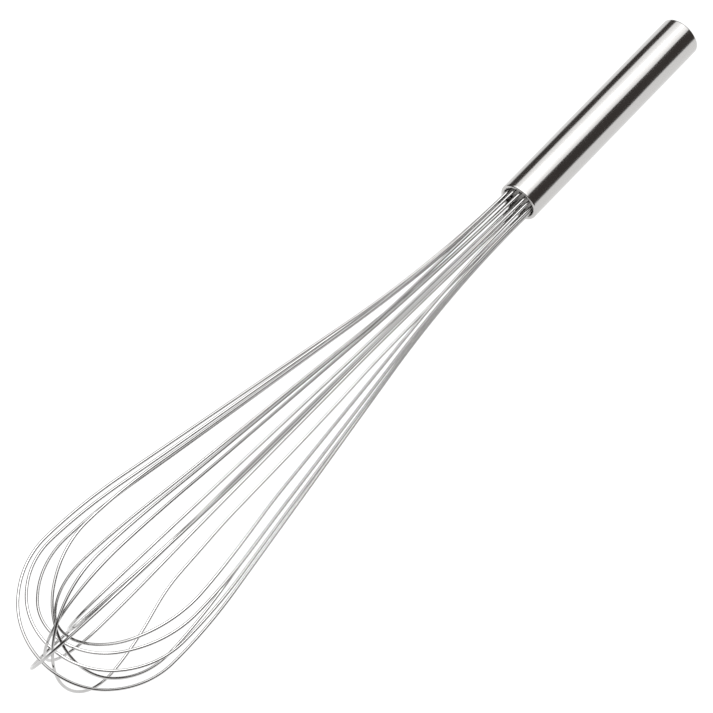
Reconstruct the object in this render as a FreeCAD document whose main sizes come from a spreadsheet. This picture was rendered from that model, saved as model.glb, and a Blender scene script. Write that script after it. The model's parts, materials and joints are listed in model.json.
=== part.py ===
import FreeCAD, Part
import math
import os
import Sketcher
from FreeCAD import Placement, Rotation, Vector

# A balloon whisk. Every sub-part is drawn about the whisk's own axis, Z: the mouth of the handle is
# at Z = 0, the handle runs up to +Z and the wires down to -Z. One placement then lays them all down,
# with the handle towards +X, resting on the balloon and on the edge of the butt.

# Driving dimensions, in millimetres and degrees.
DIMENSIONS = {
    "tube_diameter": 25.4,
    "tube_wall": 1.0,
    "handle_length": 163.2,
    "lip_width": 2.5,
    "cap_thickness": 1.4,
    "cap_edge_radius": 1.1,
    "cap_skirt_depth": 8.0,
    "press_gap": 0.05,
    "recess_depth": 4.5,
    "plate_thickness": 2.0,
    "seal_length": 32.0,
    "plug_thickness": 5.0,
    "wire_diameter": 1.8,
    "hole_gap": 0.06,
    "leg_depth": 34.0,
    "outer_ring_radius": 8.9,
    "inner_ring_radius": 6.6,
    "flare_start": 1.0,
    "flare_radius": 940.0,
    "belly_radius": 400.0,
    "balloon_radius": 49.9,
    "balloon_reach": 432.5,
    "cap_height": 61.0,
    "cap_share": 0.4,
    "shoulder_turn": 40.0,
    "lying_tilt": 3.879,
    "lying_roll": -66.8,
}

# The nine loops, outermost first: the roll of the loop's plane about the handle's axis, its lean out
# of line with the handle, how far its top stops short of the outermost one, how much narrower it is
# on each side, and the ring of holes that its two legs stand in.
LOOPS = [
    (88.0, 1.45, 0.0, 0.0, "outer"),
    (-1.0, 1.35, 2.3, 0.0, "outer"),
    (121.0, 1.1, 5.2, 0.0, "outer"),
    (104.0, 2.1, 10.2, 2.5, "outer"),
    (16.0, 1.45, 12.6, 2.0, "outer"),
    (151.0, 1.0, 17.8, 2.2, "outer"),
    (30.0, 1.6, 20.2, 3.6, "outer"),
    (51.0, 0.85, 27.0, 3.7, "outer"),
    (85.0, 1.7, 33.0, 5.0, "inner"),
]

# Sketcher's own numbers: the ends and the centre of an edge, and the sketch's origin and axes.
START, END, CENTRE = 1, 2, 3
H_AXIS, V_AXIS = -1, -2
QUARTER_TURN = math.pi / 2

sub_parts = []


def set_cell(sheet, row, name, text):
    sheet.set(f"A{row}", name)
    sheet.set(f"B{row}", text)
    sheet.setAlias(f"B{row}", name)


def make_sheet(doc):
    """The driving dimensions, and below them the ones that follow from them."""
    cells = {name: str(value) for name, value in DIMENSIONS.items()}
    cells["tube_radius"] = "=tube_diameter / 2"
    cells["bore_radius"] = "=tube_radius - tube_wall"
    cells["plug_radius"] = "=bore_radius - press_gap"
    cells["wire_radius"] = "=wire_diameter / 2"
    cells["lip_radius"] = "=lip_width / 2"
    cells["lip_centre"] = "=tube_radius - lip_radius"
    cells["tube_end"] = "=handle_length - cap_thickness"
    cells["skirt_start"] = "=tube_end - cap_skirt_depth"
    cells["skirt_bore"] = "=plug_radius - tube_wall"
    cells["plate_end"] = "=recess_depth + plate_thickness"
    cells["seal_end"] = "=plate_end + seal_length"
    cells["plug_end"] = "=seal_end + plug_thickness"
    cells["cap_turn_sum"] = "=sin(shoulder_turn) + cos(shoulder_turn) - 1"
    for number, (roll, lean, shortfall, narrowing, ring) in enumerate(LOOPS, start=1):
        cap = f"(cap_height - cap_share * shortfall_{number})"
        cells[f"roll_{number}"] = str(roll)
        cells[f"lean_{number}"] = str(lean)
        cells[f"shortfall_{number}"] = str(shortfall)
        cells[f"narrowing_{number}"] = str(narrowing)
        cells[f"radius_{number}"] = f"=balloon_radius - narrowing_{number}"
        cells[f"reach_{number}"] = f"=balloon_reach - shortfall_{number}"
        cells[f"widest_{number}"] = f"=reach_{number} - {cap}"
        cells[f"shoulder_{number}"] = (f"=({cap} * cos(shoulder_turn)"
                                       f" - radius_{number} * (1 - sin(shoulder_turn))) / cap_turn_sum")
    sheet = doc.addObject("Spreadsheet::Sheet", "Dimensions")
    for row, (name, text) in enumerate(cells.items(), start=1):
        set_cell(sheet, row, name, text)
    doc.recompute()
    return sheet


def new_body(doc, label):
    body = doc.addObject("PartDesign::Body", label)
    body.Label = label
    sub_parts.append(body)
    return body


def origin_plane(body, role):
    return [plane for plane in body.Origin.OriginFeatures if plane.Role == role][0]


def new_sketch(body, name, role):
    sketch = body.newObject("Sketcher::SketchObject", name)
    sketch.AttachmentSupport = [(origin_plane(body, role), "")]
    sketch.MapMode = "FlatFace"
    return sketch


def bind(sketch, name, kind, references, guess, formula):
    """A dimension of the sketch, bound to the sheet's cells."""
    index = sketch.addConstraint(Sketcher.Constraint(kind, *references, guess))
    sketch.renameConstraint(index, name)
    sketch.setExpression(f"Constraints.{name}", formula)


def fix(sketch, kind, *references):
    sketch.addConstraint(Sketcher.Constraint(kind, *references))


def rectangle(sketch, sheet, left, right, bottom, top):
    """A rectangle between four cells of the sheet; left is None where it reaches the axis."""
    x0 = 0.0 if left is None else getattr(sheet, left)
    x1 = getattr(sheet, right)
    y0 = getattr(sheet, bottom)
    y1 = getattr(sheet, top)
    corners = [Vector(x0, y0, 0), Vector(x1, y0, 0), Vector(x1, y1, 0), Vector(x0, y1, 0)]
    for number in range(4):
        sketch.addGeometry(Part.LineSegment(corners[number], corners[(number + 1) % 4]), False)
    for number in range(4):
        fix(sketch, "Coincident", number, END, (number + 1) % 4, START)
    for number, direction in enumerate(("Horizontal", "Vertical", "Horizontal", "Vertical")):
        fix(sketch, direction, number)
    bind(sketch, "right", "DistanceX", (H_AXIS, START, 0, END), x1, f"Dimensions.{right}")
    bind(sketch, "bottom", "DistanceY", (H_AXIS, START, 0, END), y0, f"Dimensions.{bottom}")
    bind(sketch, "top", "DistanceY", (H_AXIS, START, 2, START), y1, f"Dimensions.{top}")
    if left is None:
        fix(sketch, "PointOnObject", 0, START, V_AXIS)
    else:
        bind(sketch, "left", "DistanceX", (H_AXIS, START, 0, START), x0, f"Dimensions.{left}")


def turn(body, sketch):
    """A full turn of the sketch about the whisk's axis."""
    solid = body.newObject("PartDesign::Revolution", f"{sketch.Name}_turned")
    solid.Profile = sketch
    solid.ReferenceAxis = (sketch, ["V_Axis"])
    solid.Angle = 360
    return solid


def turned_rectangle(body, sheet, name, left, right, bottom, top):
    sketch = new_sketch(body, name, "XZ_Plane")
    rectangle(sketch, sheet, left, right, bottom, top)
    return turn(body, sketch)


def make_handle_tube(doc, sheet):
    """The tube, with its rim rolled inwards into a round bead at the mouth."""
    body = new_body(doc, "handle_tube")
    turned_rectangle(body, sheet, "tube_wall_profile", "bore_radius", "tube_radius",
                     "lip_radius", "tube_end")
    bead = new_sketch(body, "lip_profile", "XZ_Plane")
    centre = Vector(sheet.lip_centre, sheet.lip_radius, 0)
    bead.addGeometry(Part.Circle(centre, Vector(0, 0, 1), sheet.lip_radius), False)
    bind(bead, "centre_x", "DistanceX", (H_AXIS, START, 0, CENTRE), centre.x, "Dimensions.lip_centre")
    bind(bead, "centre_y", "DistanceY", (H_AXIS, START, 0, CENTRE), centre.y, "Dimensions.lip_radius")
    bind(bead, "radius", "Radius", (0,), sheet.lip_radius, "Dimensions.lip_radius")
    turn(body, bead)
    doc.recompute()


def make_end_cap(doc, sheet):
    """The closed end: a disc flush with the tube, its edge rounded, and a skirt pressed inside."""
    body = new_body(doc, "end_cap")
    turned_rectangle(body, sheet, "cap_disc_profile", None, "tube_radius", "tube_end", "handle_length")
    skirt = turned_rectangle(body, sheet, "cap_skirt_profile", "skirt_bore", "plug_radius",
                             "skirt_start", "tube_end")
    doc.recompute()
    rim = [f"Edge{number}" for number, edge in enumerate(skirt.Shape.Edges, start=1)
           if is_circle(edge, sheet.tube_radius, sheet.handle_length)]
    rounding = body.newObject("PartDesign::Fillet", "cap_edge")
    rounding.Base = (skirt, rim)
    rounding.setExpression("Radius", "Dimensions.cap_edge_radius")
    doc.recompute()


def is_circle(edge, radius, height):
    """Whether the edge is the circle of this radius at this height about the axis."""
    if not isinstance(edge.Curve, Part.Circle):
        return False
    return abs(edge.Curve.Radius - radius) < 1e-6 and abs(edge.Curve.Center.z - height) < 1e-6


def make_backing_plug(doc, sheet):
    body = new_body(doc, "backing_plug")
    turned_rectangle(body, sheet, "plug_profile", None, "plug_radius", "seal_end", "plug_end")
    doc.recompute()


def set_of(sheet, number):
    """How one loop stands: rolled about the handle's axis, then leaning out of line with it."""
    roll = getattr(sheet, f"roll_{number}")
    lean = getattr(sheet, f"lean_{number}")
    rolled = Rotation(Vector(0, 0, -1), roll)
    leaning = Rotation(Vector(0, 1, 0), lean)
    return Placement(Vector(), leaning * rolled)


def make_leg_channels(doc, sheet):
    """The eighteen round holes that the legs stand in, as solids to cut away."""
    channels = []
    for number, (*shape, ring) in enumerate(LOOPS, start=1):
        ring_radius = getattr(sheet, f"{ring}_ring_radius")
        for side in (1, -1):
            channel = doc.addObject("Part::Cylinder", f"channel_{len(channels) + 1}")
            channel.setExpression("Radius", "Dimensions.wire_radius + Dimensions.hole_gap")
            channel.setExpression("Height", "Dimensions.leg_depth + Dimensions.hole_gap")
            leg = Placement(Vector(side * ring_radius, 0, 0), Rotation())
            channel.Placement = set_of(sheet, number).multiply(leg)
            channels.append(channel)
    bundle = doc.addObject("Part::Compound", "leg_channels")
    bundle.Links = channels
    return bundle


def make_drilled_disc(doc, label, radius, start, end, channels):
    """A disc across the bore with the legs' holes through it."""
    blank = doc.addObject("Part::Cylinder", f"{label}_blank")
    blank.setExpression("Radius", f"Dimensions.{radius}")
    blank.setExpression("Height", f"Dimensions.{end} - Dimensions.{start}")
    blank.setExpression("Placement.Base.z", f"Dimensions.{start}")
    disc = doc.addObject("Part::Cut", label)
    disc.Label = label
    disc.Base = blank
    disc.Tool = channels
    sub_parts.append(disc)
    doc.recompute()


def loop_outline(sheet, number, ring):
    """One half of a loop's centre line, from the leg's end to the top: where each piece starts.

    The half loop is a straight leg, a flare arc, a straight run, a belly arc that ends at the widest
    point, a shoulder arc, and a crown arc whose centre is on the axis."""
    leg = getattr(sheet, f"{ring}_ring_radius")
    radius = getattr(sheet, f"radius_{number}")
    reach = getattr(sheet, f"reach_{number}")
    widest = getattr(sheet, f"widest_{number}")
    shoulder = getattr(sheet, f"shoulder_{number}")
    flare = sheet.flare_radius
    belly = sheet.belly_radius
    along = widest - sheet.flare_start
    across = flare + belly - (radius - leg)
    slope = math.atan2(along, across) - math.acos((flare + belly) / math.hypot(along, across))
    turned = math.radians(sheet.shoulder_turn)
    crown = (radius - shoulder * (1 - math.cos(turned))) / math.cos(turned)
    flare_centre = Vector(leg + flare, -sheet.flare_start, 0)
    belly_centre = Vector(radius - belly, -widest, 0)
    shoulder_centre = Vector(radius - shoulder, -widest, 0)
    crown_centre = Vector(0, crown - reach, 0)
    half_turn = 2 * QUARTER_TURN
    flare_arc = arc(flare_centre, flare, half_turn, half_turn + slope)
    belly_arc = arc(belly_centre, belly, 0, slope)
    return [
        Part.LineSegment(Vector(leg, sheet.leg_depth, 0), Vector(leg, -sheet.flare_start, 0)),
        flare_arc,
        Part.LineSegment(flare_arc.EndPoint, belly_arc.EndPoint),
        belly_arc,
        arc(shoulder_centre, shoulder, -turned, 0),
        arc(crown_centre, crown, -QUARTER_TURN, -turned),
    ]


def arc(centre, radius, first, last):
    return Part.ArcOfCircle(Part.Circle(centre, Vector(0, 0, 1), radius), first, last)


def make_wire_loop(doc, sheet, number, ring):
    """A round wire along half the loop, mirrored across the axis into the whole one."""
    body = new_body(doc, f"wire_loop_{number}")
    path = new_sketch(body, f"half_loop_{number}", "XZ_Plane")
    for piece in loop_outline(sheet, number, ring):
        path.addGeometry(piece, False)
    leg, flare, run, belly, shoulder, crown = range(6)
    leg_radius = getattr(sheet, f"{ring}_ring_radius")
    fix(path, "Vertical", leg)
    fix(path, "Tangent", leg, END, flare, START)
    fix(path, "Tangent", flare, END, run, START)
    fix(path, "Tangent", run, END, belly, END)
    fix(path, "Tangent", belly, START, shoulder, END)
    fix(path, "Tangent", shoulder, START, crown, END)
    fix(path, "Horizontal", shoulder, CENTRE, shoulder, END)
    fix(path, "PointOnObject", crown, CENTRE, V_AXIS)
    fix(path, "PointOnObject", crown, START, V_AXIS)
    bind(path, "ring", "DistanceX", (H_AXIS, START, leg, START), leg_radius,
         f"Dimensions.{ring}_ring_radius")
    bind(path, "depth", "DistanceY", (H_AXIS, START, leg, START), sheet.leg_depth,
         "Dimensions.leg_depth")
    bind(path, "straight", "DistanceY", (leg, END, H_AXIS, START), sheet.flare_start,
         "Dimensions.flare_start")
    bind(path, "flare", "Radius", (flare,), sheet.flare_radius, "Dimensions.flare_radius")
    bind(path, "belly", "Radius", (belly,), sheet.belly_radius, "Dimensions.belly_radius")
    bind(path, "shoulder", "Radius", (shoulder,), getattr(sheet, f"shoulder_{number}"),
         f"Dimensions.shoulder_{number}")
    bind(path, "radius", "DistanceX", (H_AXIS, START, belly, START), getattr(sheet, f"radius_{number}"),
         f"Dimensions.radius_{number}")
    bind(path, "widest", "DistanceY", (belly, START, H_AXIS, START), getattr(sheet, f"widest_{number}"),
         f"Dimensions.widest_{number}")
    bind(path, "reach", "DistanceY", (crown, START, H_AXIS, START), getattr(sheet, f"reach_{number}"),
         f"Dimensions.reach_{number}")
    section = new_sketch(body, f"wire_section_{number}", "XY_Plane")
    section.setExpression("AttachmentOffset.Base.z", "Dimensions.leg_depth")
    section.addGeometry(Part.Circle(Vector(leg_radius, 0, 0), Vector(0, 0, 1), sheet.wire_radius), False)
    fix(section, "PointOnObject", 0, CENTRE, H_AXIS)
    bind(section, "ring", "DistanceX", (H_AXIS, START, 0, CENTRE), leg_radius,
         f"Dimensions.{ring}_ring_radius")
    bind(section, "wire", "Radius", (0,), sheet.wire_radius, "Dimensions.wire_radius")
    half = body.newObject("PartDesign::AdditivePipe", f"half_wire_{number}")
    half.Profile = section
    half.Spine = path
    doc.recompute()
    whole = body.newObject("PartDesign::Mirrored", f"whole_wire_{number}")
    whole.Originals = [half]
    whole.MirrorPlane = (origin_plane(body, "YZ_Plane"), [""])
    body.Tip = whole
    doc.recompute()
    check_sketch(path)
    check_wire(body, path, sheet.wire_radius)


def check_sketch(sketch):
    if not sketch.FullyConstrained:
        raise ValueError(f"{sketch.Name} isn't fully constrained")


def check_wire(body, path, radius):
    """The wire's volume is its section times the length of its centre line."""
    expected = math.pi * radius ** 2 * 2 * path.Shape.Length
    if abs(body.Shape.Volume / expected - 1) > 1e-3:
        raise ValueError(f"{body.Label} has volume {body.Shape.Volume}, not {expected}")


def lie_down(sheet, shift):
    """The whisk as it lies: the butt towards +X and a little lower than the balloon's middle."""
    quarter = 90
    tipped = Rotation(Vector(0, 1, 0), quarter + sheet.lying_tilt)
    rolled = Rotation(Vector(0, 0, 1), sheet.lying_roll)
    return Placement(shift, tipped * rolled)


def place_all(sheet, shift):
    """Lay every sub-part down; each wire also stands in its own way."""
    lying = lie_down(sheet, shift)
    for part in sub_parts:
        part.Placement = lying
    for number in range(1, len(LOOPS) + 1):
        wire = [part for part in sub_parts if part.Label == f"wire_loop_{number}"][0]
        wire.Placement = lying.multiply(set_of(sheet, number))


def overall_box():
    box = FreeCAD.BoundBox()
    for part in sub_parts:
        box.add(part.Shape.optimalBoundingBox(False, False))
    return box


def check_document(doc):
    for item in doc.Objects:
        if "Invalid" in item.State or "Error" in item.State:
            raise ValueError(f"{item.Name} is in state {item.State}")
    for part in sub_parts:
        if part.Shape.isNull() or not part.Shape.isValid() or not part.Shape.Solids:
            raise ValueError(f"{part.Label} has no valid solid")


def main():
    doc = FreeCAD.newDocument("balloon_whisk")
    sheet = make_sheet(doc)
    make_handle_tube(doc, sheet)
    make_end_cap(doc, sheet)
    make_backing_plug(doc, sheet)
    channels = make_leg_channels(doc, sheet)
    make_drilled_disc(doc, "wire_plate", "plug_radius", "recess_depth", "plate_end", channels)
    make_drilled_disc(doc, "wire_seal", "plug_radius", "plate_end", "seal_end", channels)
    for number, (*shape, ring) in enumerate(LOOPS, start=1):
        make_wire_loop(doc, sheet, number, ring)
    place_all(sheet, Vector())
    doc.recompute()
    box = overall_box()
    place_all(sheet, Vector(-box.Center.x, -box.Center.y, -box.ZMin))
    doc.recompute()
    check_document(doc)
    os.makedirs("parts", exist_ok=True)
    for part in sub_parts:
        part.Shape.exportStep(f"parts/{part.Label}.step")
    box = overall_box()
    print(f"overall {box.XLength:.2f} x {box.YLength:.2f} x {box.ZLength:.2f} mm, "
          f"{len(sub_parts)} sub-parts")


main()
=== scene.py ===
"""A balloon whisk on a pale floor: its polished handle, its spring wires, and the studio round them."""

import json
import math
from collections import namedtuple

import bpy
import numpy as np
from mathutils import Matrix, Vector


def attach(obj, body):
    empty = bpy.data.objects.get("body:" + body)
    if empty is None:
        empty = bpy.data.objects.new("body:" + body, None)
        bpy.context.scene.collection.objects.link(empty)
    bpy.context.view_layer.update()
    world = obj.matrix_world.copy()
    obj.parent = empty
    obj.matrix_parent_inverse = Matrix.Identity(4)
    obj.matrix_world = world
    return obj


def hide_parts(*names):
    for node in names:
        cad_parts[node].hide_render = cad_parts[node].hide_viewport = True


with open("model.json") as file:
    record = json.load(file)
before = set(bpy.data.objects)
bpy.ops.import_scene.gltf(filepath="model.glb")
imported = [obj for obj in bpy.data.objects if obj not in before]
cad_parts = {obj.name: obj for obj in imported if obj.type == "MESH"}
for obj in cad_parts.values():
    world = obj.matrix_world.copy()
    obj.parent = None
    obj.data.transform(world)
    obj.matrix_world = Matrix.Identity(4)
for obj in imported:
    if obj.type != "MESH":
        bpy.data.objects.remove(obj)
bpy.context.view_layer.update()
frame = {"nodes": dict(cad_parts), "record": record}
mounts = {mount["name"]: mount for mount in frame["record"]["mounts"]}

MM = 0.001
FULL_TURN = 2 * math.pi

# The handle, in metres, along its own axis from the mouth.
TUBE_RADIUS = mounts["handle_grip"]["dims"]["r_mm"] * MM
TUBE_WALL = 1.0 * MM
LIP_RADIUS = 1.25 * MM
CAP_THICKNESS = 1.4 * MM
CAP_EDGE_RADIUS = 1.1 * MM
CAP_HUB_RADIUS = 0.005 * MM
GRIP_LENGTH = mounts["handle_grip"]["dims"]["length_mm"] * MM
TUBE_END = LIP_RADIUS + GRIP_LENGTH
HANDLE_LENGTH = TUBE_END + CAP_THICKNESS
LYING_ROLL = math.radians(-66.8)
TURNED_STEPS = 256
LIP_STEPS = 40
CAP_EDGE_STEPS = 14
SHARP_TURN = math.radians(40)

# The wires, in metres.
WIRE_RADIUS = 0.9 * MM
WIRE_SIDES = 20
RING_SPACING = 2.5 * MM
LEG_STEPS = 20
FLARE_STEPS = 80
RUN_STEPS = 60
BELLY_STEPS = 60
SHOULDER_STEPS = 60
CROWN_STEPS = 80
LEG_DEPTH = 34.0 * MM
RING_RADIUS = {"outer": 8.9 * MM, "inner": 6.6 * MM}
FLARE_START = 1.0 * MM
FLARE_RADIUS = 940.0 * MM
BELLY_RADIUS = 400.0 * MM
BALLOON_RADIUS = 49.9 * MM
BALLOON_REACH = 432.5 * MM
CAP_HEIGHT = 61.0 * MM
CAP_SHARE = 0.4
SHOULDER_TURN = math.radians(40)

# How far down the wires the bends that use has put in them begin and end.
NECK_BEND_END = 150.0 * MM
CROWN_BEND_START = 260.0 * MM

# The third wire also has a kinked leg: where along it each bow is, how long it is and how far it goes.
KINKED_WIRE = 3
KINKED_SIDE = -1
KINKS = [(170.0 * MM, 95.0 * MM, 2.3 * MM), (322.0 * MM, 24.0 * MM, -2.3 * MM)]

# Each wire: the ring it stands in, its design shape (how far its top stops short of the outermost one
# and how much narrower it is, in millimetres), and how it has been bent in use: its roll about the
# axis at the mouth, in the body and at the crown, its lean out of line with the handle, in degrees,
# how far its crown has flopped over, and how far its widest place has crept towards the tip.
Wire = namedtuple("Wire", "ring shortfall narrowing mouth body crown lean flop creep")
WIRES = [
    Wire("outer", 0.0, 0.0, 83.5, 88.6, 86.8, 1.00, -4.6, 1.5),
    Wire("outer", 2.3, 0.0, 1.9, -2.2, -0.5, 1.32, -0.1, 3.2),
    Wire("outer", 5.2, 0.0, 136.6, 112.0, 123.4, 1.66, 7.4, 10.1),
    Wire("outer", 10.2, 2.5, 109.5, 103.0, 104.5, 2.14, 0.2, 1.6),
    Wire("outer", 12.6, 2.0, 19.2, 18.3, 13.3, 1.47, 0.2, 1.7),
    Wire("outer", 17.8, 2.2, 168.0, 148.0, 153.9, 1.05, 1.0, -1.8),
    Wire("outer", 20.2, 3.6, 35.0, 31.4, 26.4, 1.64, 0.8, -6.9),
    Wire("outer", 27.0, 3.7, 62.6, 54.1, 46.8, 1.09, 2.5, -8.0),
    Wire("inner", 33.0, 5.0, 84.7, 85.5, 84.9, 1.76, 0.5, 0.0),
]


# ---------------------------------------------------------------- the whisk's own frame

def whisk_frame():
    """From the whisk's own axes, with Z towards the butt and the origin at the mouth, to the row frame."""
    grip = mounts["handle_grip"]
    towards_butt = Vector(grip["axis"]).normalized()
    mouth = Vector(grip["pos_m"]) - towards_butt * (GRIP_LENGTH / 2 + LIP_RADIUS)
    sideways = Vector((0, 1, 0))
    downwards = sideways.cross(towards_butt)
    across = math.cos(LYING_ROLL) * downwards + math.sin(LYING_ROLL) * sideways
    third = towards_butt.cross(across)
    turned = Matrix((across, third, towards_butt)).transposed().to_4x4()
    return Matrix.Translation(mouth) @ turned


WHISK = whisk_frame()


# ---------------------------------------------------------------- meshes

def new_piece(name, points, faces, material):
    """A smooth mesh in the row frame that rides on the whisk's one body."""
    mesh = bpy.data.meshes.new(name)
    mesh.from_pydata([tuple(point) for point in points], [], faces)
    mesh.materials.append(material)
    mesh.transform(WHISK)
    mesh.update()
    mesh.shade_smooth()
    mesh.set_sharp_from_angle(angle=SHARP_TURN)
    piece = bpy.data.objects.new(name, mesh)
    bpy.context.scene.collection.objects.link(piece)
    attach(piece, "root")
    return piece


def grid_faces(rows, columns, closed_rows=False):
    """Quads between neighbouring rows of points; each row closes on itself."""
    faces = []
    for row in range(rows if closed_rows else rows - 1):
        below = row * columns
        above = (row + 1) % rows * columns
        for column in range(columns):
            beside = (column + 1) % columns
            faces.append((below + column, below + beside, above + beside, above + column))
    return faces


def turned_piece(name, profile, material):
    """A closed profile of (radius, height) turned about the whisk's axis."""
    angles = np.arange(TURNED_STEPS) * FULL_TURN / TURNED_STEPS
    points = []
    for radius, height in profile:
        ring = np.stack([radius * np.cos(angles), radius * np.sin(angles)], axis=1)
        points += [(x, y, height) for x, y in ring]
    faces = grid_faces(len(profile), TURNED_STEPS, closed_rows=True)
    return new_piece(name, points, faces, material)


def arc_points(centre, radius, first, last, steps):
    """Points of an arc, from the angle first to last in degrees, in (radius, height)."""
    angles = np.radians(np.linspace(first, last, steps))
    return [(centre[0] + radius * math.cos(a), centre[1] + radius * math.sin(a)) for a in angles]


# ---------------------------------------------------------------- materials

def new_material(name, colour, metallic, roughness):
    material = bpy.data.materials.new(name)
    material.use_nodes = True
    shader = material.node_tree.nodes["Principled BSDF"]
    shader.inputs["Base Color"].default_value = (*colour, 1)
    shader.inputs["Metallic"].default_value = metallic
    shader.inputs["Roughness"].default_value = roughness
    return material, material.node_tree, shader


def add_node(tree, kind, **values):
    """A node with some of its sockets set by name."""
    node = tree.nodes.new(kind)
    for name, value in values.items():
        node.inputs[name.replace("_", " ")].default_value = value
    return node


def whisk_coordinates(tree, stretch):
    """Object coordinates turned onto the whisk's own axes and scaled along each of them."""
    place = tree.nodes.new("ShaderNodeTexCoord")
    turn = tree.nodes.new("ShaderNodeMapping")
    turn.inputs["Rotation"].default_value = WHISK.to_3x3().inverted().to_euler()
    scale = tree.nodes.new("ShaderNodeMapping")
    scale.inputs["Scale"].default_value = stretch
    tree.links.new(place.outputs["Object"], turn.inputs["Vector"])
    tree.links.new(turn.outputs["Vector"], scale.inputs["Vector"])
    return scale.outputs["Vector"]


def noise(tree, stretch, detail=2.0):
    """Noise along the whisk's own axes, stretched along each of them."""
    node = add_node(tree, "ShaderNodeTexNoise", Scale=1.0, Detail=detail)
    tree.links.new(whisk_coordinates(tree, stretch), node.inputs["Vector"])
    return node.outputs["Fac"]


def spread(tree, factor, low, high):
    """A factor of 0 to 1 mapped onto low to high."""
    node = add_node(tree, "ShaderNodeMapRange", To_Min=low, To_Max=high)
    tree.links.new(factor, node.inputs["Value"])
    return node.outputs["Result"]


def tint(tree, factor, first, second):
    """The first colour where the factor is 0, turning into the second where it is 1."""
    node = tree.nodes.new("ShaderNodeMix")
    node.data_type = "RGBA"
    node.inputs["A"].default_value = (*first, 1)
    node.inputs["B"].default_value = (*second, 1)
    tree.links.new(factor, node.inputs["Factor"])
    return node.outputs["Result"]


def bump(tree, shader, height, distance, after=None):
    """Relief on a shader, on top of the relief given as after."""
    node = add_node(tree, "ShaderNodeBump", Distance=distance, Strength=1.0)
    tree.links.new(height, node.inputs["Height"])
    if after is not None:
        tree.links.new(after, node.inputs["Normal"])
    tree.links.new(node.outputs["Normal"], shader.inputs["Normal"])
    return node.outputs["Normal"]


def polished_steel():
    """Mirror-polished tube: fine lines along its length, soft waves from the buffing wheel, and haze."""
    material, tree, shader = new_material("polished_steel", (0.59, 0.58, 0.57), 1.0, 0.17)
    waves = noise(tree, (60, 60, 14), detail=1.0)
    lines = noise(tree, (9000, 9000, 120))
    haze = noise(tree, (90, 90, 45), detail=4.0)
    tree.links.new(spread(tree, haze, 0.12, 0.20), shader.inputs["Roughness"])
    tree.links.new(tint(tree, haze, (0.565, 0.555, 0.545), (0.61, 0.60, 0.59)), shader.inputs["Base Color"])
    waved = bump(tree, shader, waves, 0.25 * MM)
    bump(tree, shader, lines, 0.0006 * MM, after=waved)
    return material


def drawn_wire():
    """Bright drawn wire with a faint grain and small changes of tone along it."""
    material, tree, shader = new_material("drawn_wire", (0.58, 0.575, 0.57), 1.0, 0.14)
    tone = noise(tree, (160, 160, 60), detail=3.0)
    grain = noise(tree, (5000, 5000, 500))
    tree.links.new(spread(tree, tone, 0.05, 0.11), shader.inputs["Roughness"])
    tree.links.new(tint(tree, tone, (0.54, 0.535, 0.53), (0.62, 0.615, 0.61)), shader.inputs["Base Color"])
    bump(tree, shader, grain, 0.0004 * MM)
    return material


def stamped_steel():
    material, tree, shader = new_material("stamped_steel", (0.42, 0.41, 0.40), 1.0, 0.4)
    grain = noise(tree, (900, 900, 900), detail=4.0)
    tree.links.new(spread(tree, grain, 0.3, 0.55), shader.inputs["Roughness"])
    tree.links.new(tint(tree, grain, (0.36, 0.35, 0.34), (0.48, 0.47, 0.46)), shader.inputs["Base Color"])
    bump(tree, shader, grain, 0.01 * MM)
    return material


def cast_resin():
    material, tree, shader = new_material("cast_resin", (0.14, 0.14, 0.15), 0.0, 0.3)
    cloud = noise(tree, (250, 250, 250), detail=3.0)
    tree.links.new(tint(tree, cloud, (0.10, 0.10, 0.11), (0.19, 0.19, 0.20)), shader.inputs["Base Color"])
    bump(tree, shader, cloud, 0.05 * MM)
    return material


def plug_rubber():
    material, tree, shader = new_material("plug_rubber", (0.07, 0.07, 0.07), 0.0, 0.8)
    pores = noise(tree, (1500, 1500, 1500), detail=3.0)
    tree.links.new(tint(tree, pores, (0.05, 0.05, 0.05), (0.09, 0.09, 0.09)), shader.inputs["Base Color"])
    bump(tree, shader, pores, 0.03 * MM)
    return material


# ---------------------------------------------------------------- the handle

def make_handle(material):
    """The tube with its rolled lip, and the closed end with its small round edge."""
    bore = TUBE_RADIUS - TUBE_WALL
    bead = (TUBE_RADIUS - LIP_RADIUS, LIP_RADIUS)
    inside_turn = math.degrees(math.acos((bore - bead[0]) / LIP_RADIUS))
    lip = arc_points(bead, LIP_RADIUS, inside_turn, 360, LIP_STEPS)
    tube = turned_piece("handle_shell", [(bore, TUBE_END), *lip, (TUBE_RADIUS, TUBE_END)], material)
    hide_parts("handle_tube")
    edge = (TUBE_RADIUS - CAP_EDGE_RADIUS, HANDLE_LENGTH - CAP_EDGE_RADIUS)
    rounding = arc_points(edge, CAP_EDGE_RADIUS, 0, 90, CAP_EDGE_STEPS)
    disc = [(CAP_HUB_RADIUS, TUBE_END), (TUBE_RADIUS, TUBE_END), *rounding,
            (CAP_HUB_RADIUS, HANDLE_LENGTH)]
    cap = turned_piece("butt_cap", disc, material)
    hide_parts("end_cap")


# ---------------------------------------------------------------- the wires

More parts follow.
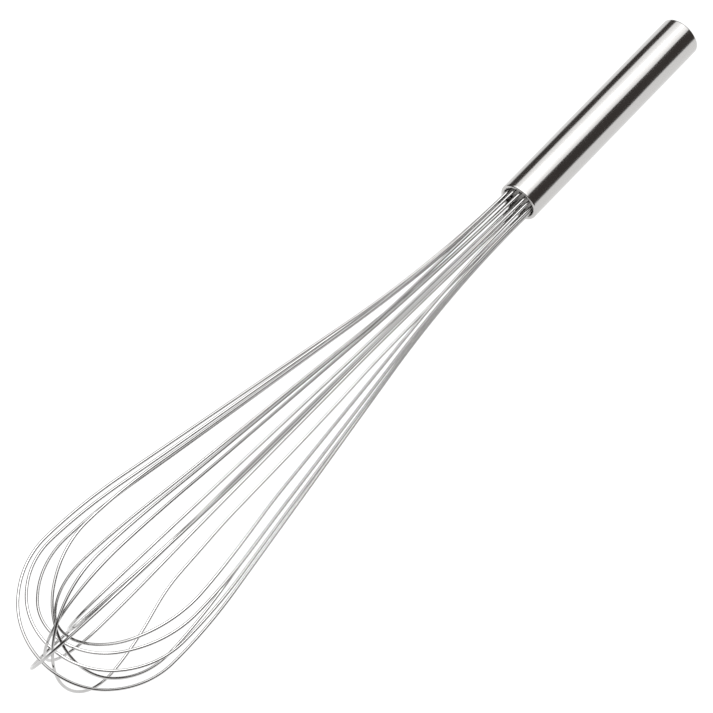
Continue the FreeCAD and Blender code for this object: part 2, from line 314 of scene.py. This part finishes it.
def half_outline(wire):
    """Half of one wire before it is bent: (distance out from the axis, distance down from the mouth).

    A straight leg, a flare arc, a straight run, a belly arc to the widest place, a shoulder arc, and a
    crown arc whose centre is on the axis."""
    leg = RING_RADIUS[wire.ring]
    radius = BALLOON_RADIUS - wire.narrowing * MM
    reach = BALLOON_REACH - wire.shortfall * MM
    cap = CAP_HEIGHT - CAP_SHARE * wire.shortfall * MM - wire.creep * MM
    widest = reach - cap
    along = widest - FLARE_START
    both_radii = FLARE_RADIUS + BELLY_RADIUS
    across = both_radii - (radius - leg)
    slope = math.atan2(along, across) - math.acos(both_radii / math.hypot(along, across))
    turned_sum = math.sin(SHOULDER_TURN) + math.cos(SHOULDER_TURN) - 1
    shoulder = (cap * math.cos(SHOULDER_TURN) - radius * (1 - math.sin(SHOULDER_TURN))) / turned_sum
    crown = (radius - shoulder * (1 - math.cos(SHOULDER_TURN))) / math.cos(SHOULDER_TURN)
    flare_end = (leg + FLARE_RADIUS * (1 - math.cos(slope)), FLARE_START + FLARE_RADIUS * math.sin(slope))
    belly_start = (radius - BELLY_RADIUS * (1 - math.cos(slope)), widest - BELLY_RADIUS * math.sin(slope))
    lines = [
        [(leg, down) for down in np.linspace(-LEG_DEPTH, FLARE_START, LEG_STEPS)],
        [(leg + FLARE_RADIUS * (1 - math.cos(a)), FLARE_START + FLARE_RADIUS * math.sin(a))
         for a in np.linspace(0, slope, FLARE_STEPS)],
        list(np.linspace(flare_end, belly_start, RUN_STEPS)),
        [(radius - BELLY_RADIUS * (1 - math.cos(a)), widest - BELLY_RADIUS * math.sin(a))
         for a in np.linspace(slope, 0, BELLY_STEPS)],
        [(radius - shoulder * (1 - math.cos(a)), widest + shoulder * math.sin(a))
         for a in np.linspace(0, SHOULDER_TURN, SHOULDER_STEPS)],
        [(crown * math.cos(a), reach - crown * (1 - math.sin(a)))
         for a in np.linspace(SHOULDER_TURN, math.pi / 2, CROWN_STEPS)],
    ]
    outline = [lines[0][0]]
    for line in lines:
        outline += line[1:]
    return np.array(outline), reach


def eased(value):
    """0 to 1 with soft ends."""
    value = np.clip(value, 0, 1)
    return value * value * (3 - 2 * value)


def kinked(down):
    """How far the kinked leg stands out of its line at each distance down from the mouth."""
    return sum(size * np.exp(-((down - place) / length) ** 2) for place, length, size in KINKS)


def bent_path(wire, number):
    """The wire's centre line from one leg's end, round the crown, to the other's, in the whisk's frame."""
    outline, reach = half_outline(wire)
    out, down = outline[:, 0], outline[:, 1]
    neck = eased(down / NECK_BEND_END)
    crown = eased((down - CROWN_BEND_START) / (reach - CROWN_BEND_START))
    roll = np.radians(wire.mouth + (wire.body - wire.mouth) * neck + (wire.crown - wire.body) * crown)
    drift = wire.flop * MM * crown - down * math.sin(math.radians(wire.lean))
    halves = []
    for side in (1, -1):
        x = side * out * np.cos(roll) + drift
        if number == KINKED_WIRE and side == KINKED_SIDE:
            x = x + kinked(down)
        y = -side * out * np.sin(roll)
        halves.append(np.stack([x, y, -down], axis=1))
    return np.concatenate([halves[0], halves[1][-2::-1]])


def even_path(points, spacing):
    """The path again, with even spacing along it."""
    lengths = np.concatenate([[0], np.cumsum(np.linalg.norm(np.diff(points, axis=0), axis=1))])
    places = np.linspace(0, lengths[-1], int(lengths[-1] / spacing) + 1)
    return np.stack([np.interp(places, lengths, points[:, axis]) for axis in range(3)], axis=1)


def tube_round(path):
    """Rings of points round a path, without twist, and the faces between them with both ends closed."""
    tangents = np.gradient(path, axis=0)
    tangents /= np.linalg.norm(tangents, axis=1)[:, None]
    normal = Vector(tangents[0]).orthogonal().normalized()
    angles = np.arange(WIRE_SIDES) * FULL_TURN / WIRE_SIDES
    points = []
    for place, tangent in zip(path, tangents):
        direction = Vector(tangent)
        normal = (normal - direction * normal.dot(direction)).normalized()
        sideways = direction.cross(normal)
        for angle in angles:
            offset = math.cos(angle) * normal + math.sin(angle) * sideways
            points.append(Vector(place) + WIRE_RADIUS * offset)
    faces = grid_faces(len(path), WIRE_SIDES)
    last = (len(path) - 1) * WIRE_SIDES
    faces.append(tuple(reversed(range(WIRE_SIDES))))
    faces.append(tuple(range(last, last + WIRE_SIDES)))
    return points, faces


def make_wires(material):
    """Every wire, as one bent rod that stands for its CAD loop."""
    for number, wire in enumerate(WIRES, start=1):
        path = even_path(bent_path(wire, number), RING_SPACING)
        points, faces = tube_round(path)
        piece = new_piece(f"bent_wire_{number}", points, faces, material)
        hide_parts(f"wire_loop_{number}")


# ---------------------------------------------------------------- the inside of the handle

def dress_inside():
    """Finishes for the pieces inside the handle, which keep their own shape."""
    for node, material in (("wire_plate", stamped_steel()), ("wire_seal", cast_resin()),
                           ("backing_plug", plug_rubber())):
        piece = frame["nodes"][node]
        piece.data.materials.clear()
        piece.data.materials.append(material)


# ---------------------------------------------------------------- the studio

# The camera: which way it faces, how steeply it looks down, how far off it is in metres, its lens in
# millimetres, and where the handle's mouth stands from the middle of its view, in metres.
VIEW_HEADING = math.radians(37.3)
VIEW_ELEVATION = math.radians(56.0)
VIEW_DISTANCE = 4.088
SENSOR_WIDTH = 36.0
LENS_LENGTH = 353.4
CLIP_END = 100.0
MOUTH_RIGHT_OF_MIDDLE = 0.09426
MOUTH_ABOVE_MIDDLE = 0.08971
FAR_WAY = Vector((math.cos(VIEW_HEADING), math.sin(VIEW_HEADING), 0))
RIGHT_WAY = Vector((math.sin(VIEW_HEADING), -math.cos(VIEW_HEADING), 0))

# The table, in metres: half its side, how far from the whisk its painted pool of light (the floor's own
# glow) starts and stops fading in the steel, and how far the painted pool is shifted to the near side and
# how much longer it is at each end.
FLOOR_HALF_SIDE = 6.0
PAINTED_POOL_FADE = (0.16, 0.36)
PAINTED_POOL_NEARER = 0.03
PAINTED_POOL_LONGER = 0.22
PAINTED_POOL_GLOW = 0.90
BEYOND_POOL_GLOW = 0.04
SEEN_GLOW = 1.0

# The surroundings that the steel mirrors: the rise of the two dark walls, the height of the dark band
# round the horizon, how softly the walls end, and where and how much the sky brightens overhead.
NEAR_WALL_RISE = 1.5
FAR_WALL_RISE = 0.67
HORIZON_BAND = 0.36
WALL_EDGE = (-0.03, 0.06)
OVERHEAD = (0.25, 0.60)
WALL_COLOUR = (0.055, 0.048, 0.045)
LOW_SKY_COLOUR = (1.22, 1.22, 1.22)
HIGH_SKY_COLOUR = (1.95, 1.95, 1.95)
WHITE = (1, 1, 1)

# The soft box: its side and place in metres, and its power in watts.
BOX_SIDE = 2.4
BOX_AWAY = 0.8
BOX_HEIGHT = 2.6
BOX_POWER = 30.0


def make_camera():
    """A long lens a good way off, looking down on the whisk."""
    up_world = Vector((0, 0, 1))
    to_camera = up_world * math.sin(VIEW_ELEVATION) - FAR_WAY * math.cos(VIEW_ELEVATION)
    up = to_camera.cross(RIGHT_WAY)
    camera = bpy.data.objects.new("camera", bpy.data.cameras.new("camera"))
    camera.data.sensor_width = SENSOR_WIDTH
    camera.data.lens = LENS_LENGTH
    camera.data.clip_end = CLIP_END
    middle = WHISK.translation - MOUTH_RIGHT_OF_MIDDLE * RIGHT_WAY - MOUTH_ABOVE_MIDDLE * up
    turned = Matrix((RIGHT_WAY, up, to_camera)).transposed().to_4x4()
    camera.matrix_world = Matrix.Translation(middle + VIEW_DISTANCE * to_camera) @ turned
    bpy.context.scene.collection.objects.link(camera)
    bpy.context.scene.camera = camera


def arithmetic(tree, operation, first, second=None):
    """One step of arithmetic on one or two values; the second may be a plain number."""
    node = tree.nodes.new("ShaderNodeMath")
    node.operation = operation
    tree.links.new(first, node.inputs[0])
    if isinstance(second, (int, float)):
        node.inputs[1].default_value = second
    elif second is not None:
        tree.links.new(second, node.inputs[1])
    return node.outputs["Value"]


def make_floor():
    """A wide pale sheet that the camera sees as plain white. In the steel it is bright only near the whisk,
    because a painted pool of light glows on the floor there and fades out a little way off."""
    half = FLOOR_HALF_SIDE
    mesh = bpy.data.meshes.new("floor")
    corners = [(-half, -half, 0), (half, -half, 0), (half, half, 0), (-half, half, 0)]
    mesh.from_pydata(corners, [], [(0, 1, 2, 3)])
    floor = bpy.data.objects.new("floor", mesh)
    bpy.context.scene.collection.objects.link(floor)
    material, tree, shader = new_material("pale_floor", (0.07, 0.07, 0.07), 0.0, 0.9)
    shader.inputs["Specular IOR Level"].default_value = 0.1
    shader.inputs["Emission Color"].default_value = (*WHITE, 1)
    place = tree.nodes.new("ShaderNodeTexCoord")
    apart = tree.nodes.new("ShaderNodeSeparateXYZ")
    tree.links.new(place.outputs["Object"], apart.inputs["Vector"])
    # painted pool of light: the floor's own glow is strongest near the whisk and fades away from it, for
    # the steel to mirror
    sideways = arithmetic(tree, "ABSOLUTE", arithmetic(tree, "ADD", apart.outputs["Y"], PAINTED_POOL_NEARER))
    lengthways = arithmetic(tree, "ABSOLUTE", apart.outputs["X"])
    beyond = arithmetic(tree, "SUBTRACT", lengthways, PAINTED_POOL_LONGER)
    away = arithmetic(tree, "MAXIMUM", sideways, beyond)
    glow = add_node(tree, "ShaderNodeMapRange", From_Min=PAINTED_POOL_FADE[0], From_Max=PAINTED_POOL_FADE[1],
                    To_Min=PAINTED_POOL_GLOW, To_Max=BEYOND_POOL_GLOW)
    tree.links.new(away, glow.inputs["Value"])
    rays = tree.nodes.new("ShaderNodeLightPath")
    seen = tree.nodes.new("ShaderNodeMix")
    seen.inputs["B"].default_value = SEEN_GLOW
    tree.links.new(rays.outputs["Is Camera Ray"], seen.inputs["Factor"])
    tree.links.new(glow.outputs["Result"], seen.inputs["A"])
    tree.links.new(seen.outputs["Result"], shader.inputs["Emission Strength"])
    mesh.materials.append(material)


def rising(tree, value, span):
    """0 below the span of values and 1 above it."""
    node = add_node(tree, "ShaderNodeMapRange", From_Min=span[0], From_Max=span[1])
    tree.links.new(value, node.inputs["Value"])
    return node.outputs["Result"]


def make_world():
    """A long white sky over the whisk, between a high dark wall on the near side and a lower one on the
    far side, which both run along the whisk, with a dark band round the horizon. The camera sees white."""
    world = bpy.data.worlds.new("studio")
    bpy.context.scene.world = world
    world.use_nodes = True
    tree = world.node_tree
    background = tree.nodes["Background"]
    place = tree.nodes.new("ShaderNodeTexCoord")
    way = tree.nodes.new("ShaderNodeSeparateXYZ")
    tree.links.new(place.outputs["Generated"], way.inputs["Vector"])
    near_wall = arithmetic(tree, "MULTIPLY", way.outputs["Y"], -NEAR_WALL_RISE)
    far_wall = arithmetic(tree, "MULTIPLY", way.outputs["Y"], FAR_WALL_RISE)
    walls = arithmetic(tree, "MAXIMUM", near_wall, far_wall)
    edge = arithmetic(tree, "MAXIMUM", walls, HORIZON_BAND)
    above = arithmetic(tree, "SUBTRACT", way.outputs["Z"], edge)
    bright = tint(tree, rising(tree, above, OVERHEAD), LOW_SKY_COLOUR, HIGH_SKY_COLOUR)
    sky = tint(tree, rising(tree, above, WALL_EDGE), WALL_COLOUR, WHITE)
    tree.links.new(bright, sky.node.inputs["B"])
    rays = tree.nodes.new("ShaderNodeLightPath")
    seen = tint(tree, rays.outputs["Is Camera Ray"], WHITE, WHITE)
    tree.links.new(sky, seen.node.inputs["A"])
    tree.links.new(seen, background.inputs["Color"])


def make_soft_light():
    """A large soft box overhead."""
    light = bpy.data.lights.new("softbox", "AREA")
    light.shape = "SQUARE"
    light.size = BOX_SIDE
    light.energy = BOX_POWER
    box = bpy.data.objects.new("softbox", light)
    box.location = FAR_WAY * BOX_AWAY + Vector((0, 0, BOX_HEIGHT))
    box.rotation_euler = (-box.location).to_track_quat("-Z", "Y").to_euler()
    box.visible_camera = False
    bpy.context.scene.collection.objects.link(box)


# ---------------------------------------------------------------- making

make_camera()
make_floor()
make_world()
make_soft_light()
bpy.context.scene.view_settings.view_transform = "Standard"
make_handle(polished_steel())
make_wires(drawn_wire())
dress_inside()
